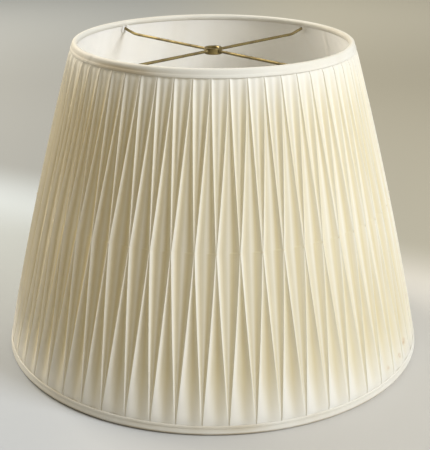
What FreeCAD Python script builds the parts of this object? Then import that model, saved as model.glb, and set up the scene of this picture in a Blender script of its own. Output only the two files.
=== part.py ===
"""Empire lamp shade with a pinched box-pleated silk cover.

A welded wire frame (two rings, struts between them and a spider with a washer hub) carries a lining inside
and a pleated cover outside. Bias binding closes both edges. Millimetres, +Z up, the origin on the table
under the middle of the bottom edge. The struts and spider arms are spread evenly about Z.
"""

import FreeCAD, Part
import Sketcher
import math
import os

from FreeCAD import Placement, Rotation, Vector

DRIVING = {
    # wire frame
    "bottom_ring_diameter": 450.0,  # to the middle of the wire
    "top_ring_diameter": 284.0,
    "ring_spacing": 326.0,  # height between the two rings' middles
    "ring_wire": 3.2,
    "strut_wire": 2.4,
    "strut_count": 8,
    "strut_azimuth": 22.5,
    # spider
    "arm_wire": 3.0,
    "arm_count": 4,
    "arm_azimuth": 45.0,
    "spider_drop": 9.7,  # from the top ring's middle down to the level arms
    "arm_rise_run": 22.0,  # from where an arm leaves the level, out to the ring's middle
    "arm_bend_radius": 30.0,
    "hook_radius": 2.2,
    "hook_length": 2.9,  # straight end of an arm, along the wall up to the ring's middle
    "hub_diameter": 19.05,
    "hub_bore": 11.1,
    "hub_height": 6.35,
    "hub_chamfer": 0.9,
    "hub_rounding": 0.5,
    "socket_depth": 2.6,
    "braze_gap": 0.05,
    # cloth
    "tape_thickness": 0.3,
    "lining_thickness": 0.3,
    "lining_hole_gap": 0.4,
    "pleat_end_thickness": 1.2,  # pressed flat under the binding
    "pleat_middle_thickness": 4.9,  # where the folds are pinched together
    "gusset_thickness": 0.6,
    "gusset_width": 9.0,
    "gusset_length": 6.5,
    "cloth_gap": 0.1,
    # binding on the two edges
    "trim_thickness": 0.5,
    "trim_outer_drop": 5.7,  # past the ring's middle, along the wall
    "trim_inner_drop": 2.4,
    "foot_width": 2.0,  # flat that the bottom binding stands on
    # stitches that pinch the pleats
    "pleat_count": 56,
    "pleat_azimuth": 1.06,
    "pinch_height": 0.506,  # share of the ring spacing
    "stitch_width": 3.0,
    "stitch_thread": 0.8,
}

DERIVED = {
    "bottom_radius": "dims.bottom_ring_diameter / 2",
    "top_radius": "dims.top_ring_diameter / 2",
    "lean_tangent": "(dims.bottom_ring_diameter - dims.top_ring_diameter) / 2 / dims.ring_spacing",
    "lean_cosine": "1 / sqrt(1 + derived.lean_tangent ^ 2)",
    "lean_sine": "derived.lean_tangent * derived.lean_cosine",
    "slant": "dims.ring_spacing / derived.lean_cosine",
    "wrap_radius": "dims.ring_wire / 2 + dims.tape_thickness",
    "lining_face": "-derived.wrap_radius - dims.lining_thickness",
    "cover_end": "derived.wrap_radius + dims.pleat_end_thickness",
    "cover_middle": "derived.wrap_radius + dims.pleat_middle_thickness",
    "trim_outside": "derived.cover_end + dims.trim_thickness",
    "trim_inside": "derived.lining_face - dims.trim_thickness",
    "trim_middle": "(derived.trim_outside + derived.trim_inside) / 2",
    "trim_radius": "(derived.trim_outside - derived.trim_inside) / 2",
    "bottom_level": "sqrt(derived.trim_radius ^ 2 - (dims.foot_width / 2) ^ 2)"
    " - derived.trim_middle * derived.lean_sine",
    "top_level": "derived.bottom_level + dims.ring_spacing",
    "spider_level": "derived.top_level - dims.spider_drop",
    "arm_start": "dims.hub_diameter / 2 - dims.socket_depth",
    "arm_leave": "derived.top_radius - dims.arm_rise_run",
}

doc = FreeCAD.newDocument("lamp_shade")


def make_dimensions():
    """The sheet of driving dimensions, and the values worked out from them."""
    sheet = doc.addObject("Spreadsheet::Sheet", "dims")
    for row, (alias, value) in enumerate(DRIVING.items(), 1):
        sheet.set(f"A{row}", alias)
        sheet.set(f"B{row}", str(value))
        sheet.setAlias(f"B{row}", alias)
    doc.recompute()
    derived = doc.addObject("App::VarSet", "derived")
    for name, formula in DERIVED.items():
        derived.addProperty("App::PropertyFloat", name, "Derived")
        derived.setExpression(name, formula)
        doc.recompute()
    return sheet


sheet = make_dimensions()


def number(expression):
    """What an expression on the sheet gives now."""
    value = sheet.evalExpression(expression)
    return float(getattr(value, "Value", value))


def on_wall(ring, out, along):
    """Expressions for a point of the wall's section, out from the frame's cone and along it from a ring.

    out is square to the cone, away from the axis. along is up the cone. Both are expressions.
    """
    across = f"derived.{ring}_radius + ({out}) * derived.lean_cosine - ({along}) * derived.lean_sine"
    up = f"derived.{ring}_level + ({out}) * derived.lean_sine + ({along}) * derived.lean_cosine"
    return across, up


def new_body(label):
    body = doc.addObject("PartDesign::Body", label)
    body.Label = label
    return body


def new_sketch(body, role, name, offset=None):
    """A sketch on one of the body's origin planes, moved along the plane's normal by an expression."""
    sketch = body.newObject("Sketcher::SketchObject", name)
    plane = next(f for f in body.Origin.OriginFeatures if f.Role == role)
    sketch.AttachmentSupport = [(plane, "")]
    sketch.MapMode = "FlatFace"
    if offset:
        sketch.AttachmentOffset = Placement(Vector(0, 0, number(offset)), Rotation())
        sketch.setExpression("AttachmentOffset.Base.z", offset)
    return sketch


def bind(sketch, kind, where, expression):
    """A dimension of the sketch that follows an expression."""
    index = sketch.addConstraint(Sketcher.Constraint(kind, *where, number(expression)))
    sketch.setExpression(f"Constraints[{index}]", expression)


def pin(sketch, geometry, end, point):
    """Holds an end of a line or arc at a point given by two expressions."""
    bind(sketch, "DistanceX", (geometry, end), point[0])
    bind(sketch, "DistanceY", (geometry, end), point[1])


def spot(point):
    return Vector(number(point[0]), number(point[1]), 0)


def outline(sketch, points, bulges=None):
    """A closed outline through pinned points. bulges maps a side to the expression of its arc's middle."""
    bulges = bulges or {}
    count = len(points)
    for i in range(count):
        start, end = spot(points[i]), spot(points[(i + 1) % count])
        if i in bulges:
            sketch.addGeometry(Part.Arc(start, spot(bulges[i]), end), False)
        else:
            sketch.addGeometry(Part.LineSegment(start, end), False)
    for i in range(count):
        following = (i + 1) % count
        last = arc_end(sketch, i, spot(points[following]))
        first = arc_end(sketch, following, spot(points[following]))
        sketch.addConstraint(Sketcher.Constraint("Coincident", i, last, following, first))
        pin(sketch, following, first, points[following])


def arc_end(sketch, geometry, place):
    """1 or 2: which end of a line or arc lies at a place."""
    start = sketch.getPoint(geometry, 1)
    end = sketch.getPoint(geometry, 2)
    return 1 if (start - place).Length <= (end - place).Length else 2


def revolve(body, sketch, kind="Revolution", angle=360.0):
    """Turns a sketch about Z."""
    feature = body.newObject(f"PartDesign::{kind}", kind)
    feature.Profile = sketch
    feature.ReferenceAxis = (sketch, ["V_Axis"])
    feature.Angle = angle
    feature.Midplane = angle < 360.0
    return feature


def pattern(body, feature, count):
    """Repeats a feature evenly about Z."""
    axis = next(f for f in body.Origin.OriginFeatures if f.Role == "Z_Axis")
    copies = body.newObject("PartDesign::PolarPattern", "Pattern")
    copies.Originals = [feature]
    copies.Axis = (axis, [""])
    copies.Angle = 360.0
    copies.setExpression("Occurrences", count)
    body.Tip = copies
    return copies


def turned(body, kind, index=0):
    """Turns a body to the place of one of the evenly spread struts, arms or pleats."""
    azimuth = number(f"dims.{kind}_azimuth") + index * 360.0 / number(f"dims.{kind}_count")
    body.Placement = Placement(Vector(), Rotation(Vector(0, 0, 1), azimuth))
    return body


def wire_ring(body, ring, wire, kind="Revolution"):
    """A ring of round wire, added to the body or cut from it."""
    sketch = new_sketch(body, "XZ_Plane", "RingSection")
    centre = on_wall(ring, "0", "0")
    sketch.addGeometry(Part.Circle(spot(centre), Vector(0, 0, 1), number(wire) / 2), False)
    pin(sketch, 0, 3, centre)
    bind(sketch, "Diameter", (0,), wire)
    return revolve(body, sketch, kind)


def make_ring(ring):
    body = new_body(f"{ring}_ring")
    wire_ring(body, ring, "dims.ring_wire")
    return body


def make_strut(index):
    """A straight wire down the wall, coped to both rings."""
    body = new_body(f"strut_{index + 1}")
    sketch = band(body, "0", "dims.strut_wire / 2", ("bottom", "0"), ("top", "0"))
    ends = spot(on_wall("top", "0", "0")), spot(on_wall("bottom", "0", "0"))
    core = sketch.addGeometry(Part.LineSegment(*ends), True)
    sketch.addConstraint(Sketcher.Constraint("Coincident", core, 1, 3, 1))
    sketch.addConstraint(Sketcher.Constraint("Coincident", core, 2, 3, 2))
    rod = body.newObject("PartDesign::Revolution", "Rod")
    rod.Profile = sketch
    rod.ReferenceAxis = (sketch, ["Axis0"])
    rod.Angle = 360.0
    for ring in ("bottom", "top"):
        wire_ring(body, ring, "dims.ring_wire", "Groove")
    return turned(body, "strut", index)


def arm_path(body):
    """The line down the middle of a spider arm: level, a slow rise, then a hook up the wall to the ring."""
    sine, cosine = number("derived.lean_sine"), number("derived.lean_cosine")
    rise, hook = number("dims.arm_bend_radius"), number("dims.hook_radius")
    along, outward = Vector(-sine, cosine, 0), Vector(cosine, sine, 0)
    start = Vector(number("derived.arm_start"), number("derived.spider_level"), 0)
    leave = Vector(number("derived.arm_leave"), start.y, 0)
    ring = spot(on_wall("top", "0", "0"))
    hook_end = ring - along * number("dims.hook_length")
    rise_centre = leave + Vector(0, rise, 0)
    hook_centre = hook_end - outward * hook
    between = hook_centre - rise_centre
    run = math.sqrt(between.Length**2 - (rise - hook) ** 2)
    slope = math.atan2(between.y, between.x) - math.atan2(hook - rise, run)
    down = Vector(math.sin(slope), -math.cos(slope), 0)
    rise_end, hook_start = rise_centre + down * rise, hook_centre + down * hook

    def bent(centre, radius, begin, end):
        middle = ((begin - centre) + (end - centre)).normalize() * radius + centre
        return Part.Arc(begin, middle, end)

    sketch = new_sketch(body, "XZ_Plane", "ArmPath")
    sketch.addGeometry(Part.LineSegment(start, leave), False)
    sketch.addGeometry(bent(rise_centre, rise, leave, rise_end), False)
    sketch.addGeometry(Part.LineSegment(rise_end, hook_start), False)
    sketch.addGeometry(bent(hook_centre, hook, hook_start, hook_end), False)
    sketch.addGeometry(Part.LineSegment(hook_end, ring), False)
    pin(sketch, 0, 1, ("derived.arm_start", "derived.spider_level"))
    sketch.addConstraint(Sketcher.Constraint("Horizontal", 0))
    bind(sketch, "DistanceX", (0, 2), "derived.arm_leave")
    for line, its_end, arc, arc_place in ((0, 2, 1, leave), (2, 1, 1, rise_end), (2, 2, 3, hook_start)):
        near = arc_end(sketch, arc, arc_place)
        sketch.addConstraint(Sketcher.Constraint("Tangent", line, its_end, arc, near))
    near = arc_end(sketch, 3, hook_end)
    sketch.addConstraint(Sketcher.Constraint("Tangent", 4, 1, 3, near))
    bind(sketch, "Radius", (1,), "dims.arm_bend_radius")
    bind(sketch, "Radius", (3,), "dims.hook_radius")
    pin(sketch, 4, 1, on_wall("top", "0", "-dims.hook_length"))
    pin(sketch, 4, 2, on_wall("top", "0", "0"))
    return sketch


def arm_section(body, radius, diameter):
    """A circle square to an arm's level stretch, at some radius from Z."""
    sketch = new_sketch(body, "YZ_Plane", "ArmSection", radius)
    centre = Vector(0, number("derived.spider_level"), 0)
    sketch.addGeometry(Part.Circle(centre, Vector(0, 0, 1), number(diameter) / 2), False)
    sketch.addConstraint(Sketcher.Constraint("PointOnObject", 0, 3, -2))
    bind(sketch, "DistanceY", (0, 3), "derived.spider_level")
    bind(sketch, "Diameter", (0,), diameter)
    return sketch


def arm_pipe(body, kind, diameter):
    """A round pipe along the arm's path, added to the body or cut from it."""
    path = arm_path(body)
    section = arm_section(body, "derived.arm_start", diameter)
    pipe = body.newObject(f"PartDesign::{kind}Pipe", "ArmPipe")
    pipe.Profile = section
    pipe.Spine = path
    return pipe


def make_arm(index):
    body = new_body(f"spider_arm_{index + 1}")
    arm_pipe(body, "Additive", "dims.arm_wire")
    wire_ring(body, "top", "dims.ring_wire", "Groove")
    return turned(body, "arm", index)


def round_edges(shape, radius):
    """Names of the shape's circular edges about Z with that radius."""
    names = []
    for i, edge in enumerate(shape.Edges, 1):
        circle = edge.Curve
        if not isinstance(circle, Part.Circle):
            continue
        if math.isclose(circle.Radius, radius, abs_tol=1e-4) and math.isclose(abs(circle.Axis.z), 1):
            names.append(f"Edge{i}")
    return names


def make_hub():
    """The washer that sits on the harp, with a blind socket for each arm."""
    body = new_body("spider_hub")
    sketch = new_sketch(body, "XZ_Plane", "HubSection")
    low = "derived.spider_level - dims.hub_height / 2"
    high = "derived.spider_level + dims.hub_height / 2"
    bore, rim = "dims.hub_bore / 2", "dims.hub_diameter / 2"
    outline(sketch, [(bore, low), (rim, low), (rim, high), (bore, high)])
    drum = revolve(body, sketch)
    doc.recompute()
    chamfer = body.newObject("PartDesign::Chamfer", "BoreChamfer")
    chamfer.Base = (drum, round_edges(drum.Shape, number(bore)))
    chamfer.setExpression("Size", "dims.hub_chamfer")
    doc.recompute()
    rounding = body.newObject("PartDesign::Fillet", "RimRounding")
    rounding.Base = (chamfer, round_edges(chamfer.Shape, number(rim)))
    rounding.setExpression("Radius", "dims.hub_rounding")
    doc.recompute()
    socket = body.newObject("PartDesign::Pocket", "Socket")
    socket.Profile = arm_section(body, rim, "dims.arm_wire + 2 * dims.braze_gap")
    socket.setExpression("Length", "dims.socket_depth")
    doc.recompute()
    pattern(body, socket, "dims.arm_count")
    return turned(body, "arm")


def leave_gaps(body, ring, kind):
    """Interrupts a ring of tape where struts or arms are welded on."""
    sketch = new_sketch(body, "XY_Plane", "GapOutline")
    sketch.AttachmentOffset = Placement(Vector(), Rotation(Vector(0, 0, 1), number(f"dims.{kind}_azimuth")))
    near, far = (f"derived.{ring}_radius {side} 2 * derived.wrap_radius" for side in "-+")
    half = f"(dims.{kind}_wire / 2 + dims.cloth_gap)"
    outline(sketch, [(near, f"-{half}"), (far, f"-{half}"), (far, half), (near, half)])
    gap = body.newObject("PartDesign::Pocket", "Gap")
    gap.Profile = sketch
    gap.Midplane = True
    gap.setExpression("Length", "4 * derived.top_level")
    pattern(body, gap, f"dims.{kind}_count")


def make_ring_tape(ring, kinds):
    """Cotton tape wound round a ring between the wires that are welded to it."""
    body = new_body(f"{ring}_ring_tape")
    body.AllowCompound = True
    sketch = new_sketch(body, "XZ_Plane", "TapeSection")
    centre = on_wall(ring, "0", "0")
    for size in ("dims.ring_wire", "2 * derived.wrap_radius"):
        index = sketch.addGeometry(Part.Circle(spot(centre), Vector(0, 0, 1), number(size) / 2), False)
        pin(sketch, index, 3, centre)
        bind(sketch, "Diameter", (index,), size)
    revolve(body, sketch)
    for kind in kinds:
        leave_gaps(body, ring, kind)
    return body


def band(body, inside, outside, low, high):
    """The section of a band of cloth on the wall. low and high are each a ring and a distance from it."""
    sketch = new_sketch(body, "XZ_Plane", "BandSection")
    corners = ((inside, low), (outside, low), (outside, high), (inside, high))
    outline(sketch, [on_wall(ring, out, along) for out, (ring, along) in corners])
    return sketch


def make_lining():
    """The smooth cone of cloth inside the frame, with a hole for each arm."""
    body = new_body("lining")
    outside, inside = "-derived.wrap_radius", "derived.lining_face"
    revolve(body, band(body, inside, outside, ("bottom", "0"), ("top", "0")))
    hole = arm_pipe(body, "Subtractive", "dims.arm_wire + 2 * dims.lining_hole_gap")
    pattern(body, hole, "dims.arm_count")
    return turned(body, "arm")


def make_gusset(index):
    """The collar of lining cloth that closes the lining round an arm."""
    body = new_body(f"arm_gusset_{index + 1}")
    outside = "derived.lining_face"
    inside = f"{outside} - dims.gusset_thickness"
    high = "-dims.trim_inner_drop - dims.cloth_gap"
    low = f"{high} - dims.gusset_length"
    share = number("dims.gusset_width") / number("derived.top_radius")
    revolve(body, band(body, inside, outside, ("top", low), ("top", high)), angle=math.degrees(share))
    arm_pipe(body, "Subtractive", "dims.arm_wire + 2 * dims.cloth_gap")
    return turned(body, "arm", index)


def make_pleated_cover():
    """The pleated silk as one cone: thin where its ends are bound, full where the folds are pinched."""
    body = new_body("pleated_cover")
    sketch = new_sketch(body, "XZ_Plane", "CoverSection")
    inside, end = "derived.wrap_radius", "derived.cover_end"
    bound = "dims.trim_outer_drop"
    corners = [
        on_wall("bottom", inside, "0"),
        on_wall("bottom", end, "0"),
        on_wall("bottom", end, bound),
        on_wall("top", end, f"-{bound}"),
        on_wall("top", end, "0"),
        on_wall("top", inside, "0"),
    ]
    outline(sketch, corners, {2: on_wall("bottom", "derived.cover_middle", "derived.slant / 2")})
    half, height = f"(derived.slant / 2 - {bound})", "(derived.cover_middle - derived.cover_end)"
    bind(sketch, "Radius", (2,), f"({half} ^ 2 + {height} ^ 2) / (2 * {height})")
    revolve(body, sketch)
    return body


def make_trim(ring):
    """Bias binding folded over an edge. The bottom one is pressed flat where it stands."""
    body = new_body(f"{ring}_trim")
    sketch = new_sketch(body, "XZ_Plane", "TrimSection")
    way = 1 if ring == "top" else -1
    outer_end, inner_end = f"{-way} * dims.trim_outer_drop", f"{-way} * dims.trim_inner_drop"
    crown = f"{way} * derived.trim_radius"
    inner_crown = f"{way} * (derived.trim_radius - dims.trim_thickness)"
    points = [
        on_wall(ring, "derived.trim_outside", outer_end),
        on_wall(ring, "derived.trim_outside", "0"),
        on_wall(ring, "derived.trim_inside", "0"),
        on_wall(ring, "derived.trim_inside", inner_end),
        on_wall(ring, "derived.lining_face", inner_end),
        on_wall(ring, "derived.lining_face", "0"),
        on_wall(ring, "derived.cover_end", "0"),
        on_wall(ring, "derived.cover_end", outer_end),
    ]
    bulges = {
        1: on_wall(ring, "derived.trim_middle", crown),
        5: on_wall(ring, "derived.trim_middle", inner_crown),
    }
    outline(sketch, points, bulges)
    for side in bulges:
        bind(sketch, "DistanceY", (side, 3), on_wall(ring, "derived.trim_middle", "0")[1])
    revolve(body, sketch)
    if ring == "bottom":
        press_foot(body)
    return body


def press_foot(body):
    """Cuts off what would hang below the table, which leaves the flat that the shade stands on."""
    sketch = new_sketch(body, "XY_Plane", "FootOutline")
    width = "dims.bottom_ring_diameter + 4 * derived.trim_radius"
    sketch.addGeometry(Part.Circle(Vector(), Vector(0, 0, 1), number(width) / 2), False)
    sketch.addConstraint(Sketcher.Constraint("Coincident", 0, 3, -1, 1))
    bind(sketch, "Diameter", (0,), width)
    foot = body.newObject("PartDesign::Pocket", "Foot")
    foot.Profile = sketch
    foot.setExpression("Length", "derived.trim_radius")


def make_stitches():
    """The short thread bars that pinch the pleats, one on each."""
    body = new_body("pinch_stitches")
    body.AllowCompound = True
    out = "derived.cover_middle + dims.stitch_thread / 2"
    along = "derived.slant * dims.pinch_height"
    place = on_wall("bottom", out, along)
    section = new_sketch(body, "XZ_Plane", "ThreadSection")
    section.addGeometry(Part.Circle(spot(place), Vector(0, 0, 1), number("dims.stitch_thread") / 2), False)
    pin(section, 0, 3, place)
    bind(section, "Diameter", (0,), "dims.stitch_thread")
    bar = body.newObject("PartDesign::Pad", "Thread")
    bar.Profile = section
    bar.Midplane = True
    bar.setExpression("Length", "dims.stitch_width")
    pattern(body, bar, "dims.pleat_count")
    return turned(body, "pleat")


def build():
    rings = [make_ring("bottom"), make_ring("top")]
    struts = [make_strut(i) for i in range(round(number("dims.strut_count")))]
    arms = [make_arm(i) for i in range(round(number("dims.arm_count")))]
    parts = rings + struts + arms + [make_hub()]
    parts.append(make_ring_tape("bottom", ["strut"]))
    parts.append(make_ring_tape("top", ["strut", "arm"]))
    parts.append(make_lining())
    parts += [make_gusset(i) for i in range(round(number("dims.arm_count")))]
    parts.append(make_pleated_cover())
    parts.append(make_stitches())
    parts += [make_trim("bottom"), make_trim("top")]
    return parts


def check(parts):
    """Stops before anything is written if a feature failed or a sub-part is no good."""
    doc.recompute()
    failed = [o.Name for o in doc.Objects if {"Invalid", "Error"} & set(o.State)]
    if failed:
        raise RuntimeError(f"features that failed: {failed}")
    for part in parts:
        shape = part.Shape
        if shape.isNull() or not shape.isValid() or not shape.Solids:
            raise RuntimeError(f"{part.Label} has no good shape")
        print(f"{part.Label:18s} solids {len(shape.Solids):3d}  volume {shape.Volume:12.1f} mm3")


parts = build()
check(parts)
os.makedirs("parts", exist_ok=True)
for part in parts:
    part.Shape.exportStep(f"parts/{part.Label}.step")
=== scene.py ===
import bmesh
import bpy
import math
import numpy as np
from mathutils import Matrix, Vector


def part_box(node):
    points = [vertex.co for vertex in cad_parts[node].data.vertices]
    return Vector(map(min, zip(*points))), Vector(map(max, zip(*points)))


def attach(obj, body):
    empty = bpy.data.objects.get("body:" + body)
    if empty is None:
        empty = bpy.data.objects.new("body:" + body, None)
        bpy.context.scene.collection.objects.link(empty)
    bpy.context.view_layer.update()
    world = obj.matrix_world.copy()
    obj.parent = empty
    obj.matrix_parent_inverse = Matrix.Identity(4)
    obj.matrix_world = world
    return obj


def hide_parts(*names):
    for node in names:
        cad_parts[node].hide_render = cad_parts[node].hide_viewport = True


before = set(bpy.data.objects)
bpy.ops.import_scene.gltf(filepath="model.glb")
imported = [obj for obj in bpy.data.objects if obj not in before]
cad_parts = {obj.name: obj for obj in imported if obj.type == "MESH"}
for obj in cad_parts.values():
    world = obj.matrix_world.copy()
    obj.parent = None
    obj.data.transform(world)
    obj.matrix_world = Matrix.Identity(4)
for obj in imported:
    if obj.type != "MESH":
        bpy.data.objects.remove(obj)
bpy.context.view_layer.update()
mm = 0.001
fullTurn = 2 * math.pi
rng = np.random.default_rng(56)

# A place on the shade is an azimuth in degrees from the front towards +X, a distance up the wall from
# the bottom ring's middle, and a distance out from the cone that runs through both rings' middles.


def ringOf(node):
    low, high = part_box(node)
    wire = high.z - low.z
    return {"radius": high.x - wire / 2, "level": (low.z + high.z) / 2}


bottomRing = ringOf("bottom_ring")
topRing = ringOf("top_ring")
drop = topRing["level"] - bottomRing["level"]
inset = bottomRing["radius"] - topRing["radius"]
slant = math.hypot(drop, inset)
leanSine, leanCosine = inset / slant, drop / slant
print("stage: wall,", round(slant, 4), "m up the slope")


def onWall(azimuth, along, out):
    turn = np.radians(azimuth)
    radius = bottomRing["radius"] + out * leanCosine - along * leanSine
    height = bottomRing["level"] + out * leanSine + along * leanCosine
    return np.stack(np.broadcast_arrays(radius * np.sin(turn), -radius * np.cos(turn), height), -1)


def ease(x):
    x = np.clip(x, 0.0, 1.0)
    return x * x * (3 - 2 * x)


def bell(x):  # 1 at 0 and dying away on both sides
    return np.exp(-x ** 2)


def turnFrom(azimuth, middle):  # degrees from a middle, -180 to 180
    return (azimuth - middle + 180) % 360 - 180


def clothPlace(across, up):  # where each point lies on the flat cloth, in metres
    across, up = np.broadcast_arrays(across, up)
    return np.stack([across, up, across * 0], -1)


waves = {"slowest": 2, "fastest": 24, "phase": 6.28, "weakest": 0.5}


def wobble(azimuth, seed, count=5):  # a smooth random wave round the shade, about -1 to 1
    draw = np.random.default_rng(seed)
    chosen = [
        (k, draw.uniform(0, waves["phase"]), draw.uniform(waves["weakest"], 1))
        for k in draw.integers(waves["slowest"], waves["fastest"], count)
    ]
    total = sum(size * np.sin(k * np.radians(azimuth) + start) for k, start, size in chosen)
    return total / sum(size for _, _, size in chosen)


# Paint: shader nodes written as expressions.


class Wire:  # an output socket that can be used in maths
    def __init__(self, paint, socket):
        self.paint, self.socket = paint, socket

    def maths(self, operation, *values):
        return self.paint.node("Math", {"operation": operation}, dict(enumerate(values)))

    def __add__(self, other):
        return self.maths("ADD", self, other)

    def __radd__(self, other):
        return self.maths("ADD", other, self)

    def __sub__(self, other):
        return self.maths("SUBTRACT", self, other)

    def __rsub__(self, other):
        return self.maths("SUBTRACT", other, self)

    def __mul__(self, other):
        return self.maths("MULTIPLY", self, other)

    def __rmul__(self, other):
        return self.maths("MULTIPLY", other, self)

    def sine(self):
        return self.maths("SINE", self)

    def clipped(self):
        return self.paint.node("Clamp", {}, {"Value": self})

    def between(self, low, high):  # 0 at low, 1 at high, smooth in between
        limits = {"Value": self, "From Min": low, "From Max": high}
        return self.paint.node("MapRange", {"interpolation_type": "SMOOTHSTEP"}, limits)


class Paint:  # one material, made node by node
    def __init__(self, name):
        self.material = bpy.data.materials.new(name)
        self.material.use_nodes = True
        self.tree = self.material.node_tree
        self.shader = self.tree.nodes["Principled BSDF"]

    def node(self, kind, settings, sockets, output=0):
        made = self.tree.nodes.new("ShaderNode" + kind)
        for name, value in settings.items():
            setattr(made, name, value)
        for name, value in sockets.items():
            self.feed(made.inputs[name], value)
        return Wire(self, made.outputs[output])

    def feed(self, socket, value):
        if isinstance(value, Wire):
            self.tree.links.new(value.socket, socket)
        else:
            socket.default_value = value

    def finish(self, sockets):
        for name, value in sockets.items():
            self.feed(self.shader.inputs[name], value)
        return self.material

    def thin(self, share, tint):  # part of the light goes through, as in a cloth held to a lamp
        through = self.node("BsdfTranslucent", {}, {"Color": tint})
        front = Wire(self, self.shader.outputs["BSDF"])
        mixed = self.node("MixShader", {}, {0: share, 1: front, 2: through})
        self.feed(self.tree.nodes["Material Output"].inputs["Surface"], mixed)

    def attribute(self, name, output=0):
        return self.node("Attribute", {"attribute_name": name}, {}, output)

    def parts(self, vector):
        split = self.node("SeparateXYZ", {}, {"Vector": vector})
        return [Wire(self, socket) for socket in split.socket.node.outputs]

    def place(self):
        return self.node("TexCoord", {}, {}, output="Object")

    def stretched(self, vector, scale):
        return self.node("VectorMath", {"operation": "MULTIPLY"}, {0: vector, 1: scale})

    def noise(self, vector, scale, detail=2.0):
        return self.node("TexNoise", {}, {"Vector": vector, "Scale": scale, "Detail": detail})

    def near(self, point, radius):  # 1 at a point of the piece, 0 from radius on
        gap = self.node("VectorMath", {"operation": "DISTANCE"}, {0: self.place(), 1: point}, output="Value")
        return 1 - gap.between(0.0, radius)

    def blend(self, share, first, second):
        return self.node("Mix", {"data_type": "RGBA"}, {0: share, 6: first, 7: second}, output=2)

    def bump(self, height, distance, strength=1.0, normal=None):
        sockets = {"Height": height, "Distance": distance, "Strength": strength}
        if normal:
            sockets["Normal"] = normal
        return self.node("Bump", {}, sockets)


def colour(red, green, blue):
    return (red, green, blue, 1.0)


def weave(paint, cloth, threads, bias=0.0):  # height of a plain weave, about 0 to 1
    across, up, _ = paint.parts(paint.stretched(cloth, (threads, threads, 0.0)))
    warp = (across + up * bias) * fullTurn
    weft = (up - across * bias) * fullTurn
    return warp.sine() * 0.25 + weft.sine() * 0.25 + 0.5


def silkPaint(settings):
    paint = Paint("ivorySilk")
    cloth = paint.attribute("cloth", 1)
    foldShade = paint.attribute("foldShade", 2)
    streaks = paint.noise(paint.stretched(cloth, settings["streakScale"]), 1.0, detail=3.0)
    slubs = paint.noise(paint.stretched(cloth, settings["slubScale"]), 1.0)
    age = paint.noise(paint.place(), settings["ageScale"], detail=3.0)
    crest = paint.blend(age.between(*settings["ageSpread"]), settings["crest"], settings["crestAged"])
    shadedHollow = paint.blend(streaks.between(*settings["deepSpread"]), settings["hollow"], settings["hollowShadeDeep"])
    # painted shade: the cloth goes from the crest colour to a yellow-tan in the hollows and on the far walls
    # of the folds
    base = paint.blend(foldShade.clipped(), crest, shadedHollow)
    streaky = streaks.between(*settings["streakSpread"]) * settings["streakTint"]
    base = paint.blend(streaky, base, settings["streakColour"])
    # painted shade over the dim left side, stronger in the hollows and made patchy
    onCrest, inHollow = settings["paintedShadeShares"]
    paintedShade = paint.attribute("paintedShade", 2) * (foldShade.clipped() * (inHollow - onCrest) + onCrest)
    paintedShade = paintedShade * (age * settings["paintedShadePatchy"] + 1 - settings["paintedShadePatchy"] / 2)
    base = paint.blend(paintedShade.clipped(), base, settings["paintedShadeColour"])
    for azimuth, share, radius, strength in settings["stains"]:
        spot = onWall(azimuth, share * slant, settings["stainOut"])
        ragged = paint.noise(paint.place(), settings["stainScale"], detail=3.0)
        mask = paint.near(tuple(float(x) for x in spot), radius) * ragged.between(*settings["stainSpread"])
        base = paint.blend((mask * strength).clipped(), base, settings["stain"])
    relief = paint.bump(streaks, settings["streakHeight"], 0.8)
    relief = paint.bump(slubs, settings["slubHeight"], 0.5, relief)
    relief = paint.bump(weave(paint, cloth, settings["threads"]), settings["threadHeight"], 0.5, relief)
    rough = foldShade * settings["foldRough"] + streaks * settings["streakRough"] + settings["rough"]
    paint.thin(settings["through"], settings["glow"])
    return paint.finish({
        "Base Color": base, "Roughness": rough, "Normal": relief, "Specular IOR Level": 0.35,
        "Sheen Weight": 0.12, "Sheen Roughness": 0.45, "Sheen Tint": colour(1.0, 0.97, 0.9),
    })


clothLook = {  # the same for every plain cloth
    "ageSpread": (0.3, 0.72), "grainSpread": (0.45, 0.8), "dirtAndShadeSpread": (0.25, 0.65),
    "reliefStrength": 0.6, "grainRough": 0.15,
}


def clothPaint(name, settings):  # plain woven cloth: trims, lining, straps, tape and thread
    paint = Paint(name)
    strength = clothLook["reliefStrength"]
    cloth = paint.attribute("cloth", 1)
    fine = paint.noise(paint.stretched(cloth, settings["grain"]), 1.0, detail=3.0)
    broad = paint.noise(paint.place(), settings["broadScale"], detail=3.0)
    base = paint.blend(broad.between(*clothLook["ageSpread"]), settings["colour"], settings["aged"])
    grainy = fine.between(*clothLook["grainSpread"]) * settings["grainTint"]
    base = paint.blend(grainy, base, settings["grainColour"])
    # dirt and wear, with painted shade on some pieces, from the piece's own attribute made patchy
    dirtAndShade = paint.attribute("wearAndShade", 2) * broad.between(*clothLook["dirtAndShadeSpread"])
    base = paint.blend(dirtAndShade.clipped(), base, settings["dirtAndShadeColour"])
    threads = weave(paint, cloth, settings["threads"], settings["bias"])
    relief = paint.bump(broad, settings["broadHeight"], strength)
    relief = paint.bump(fine, settings["grainHeight"], strength, relief)
    relief = paint.bump(threads, settings["threadHeight"], strength, relief)
    if "through" in settings:
        paint.thin(settings["through"], settings["glow"])
    return paint.finish({
        "Base Color": base, "Roughness": fine * clothLook["grainRough"] + settings["rough"], "Normal": relief,
        "Specular IOR Level": 0.3, "Sheen Weight": settings["sheen"], "Sheen Roughness": 0.5,
    })


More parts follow.
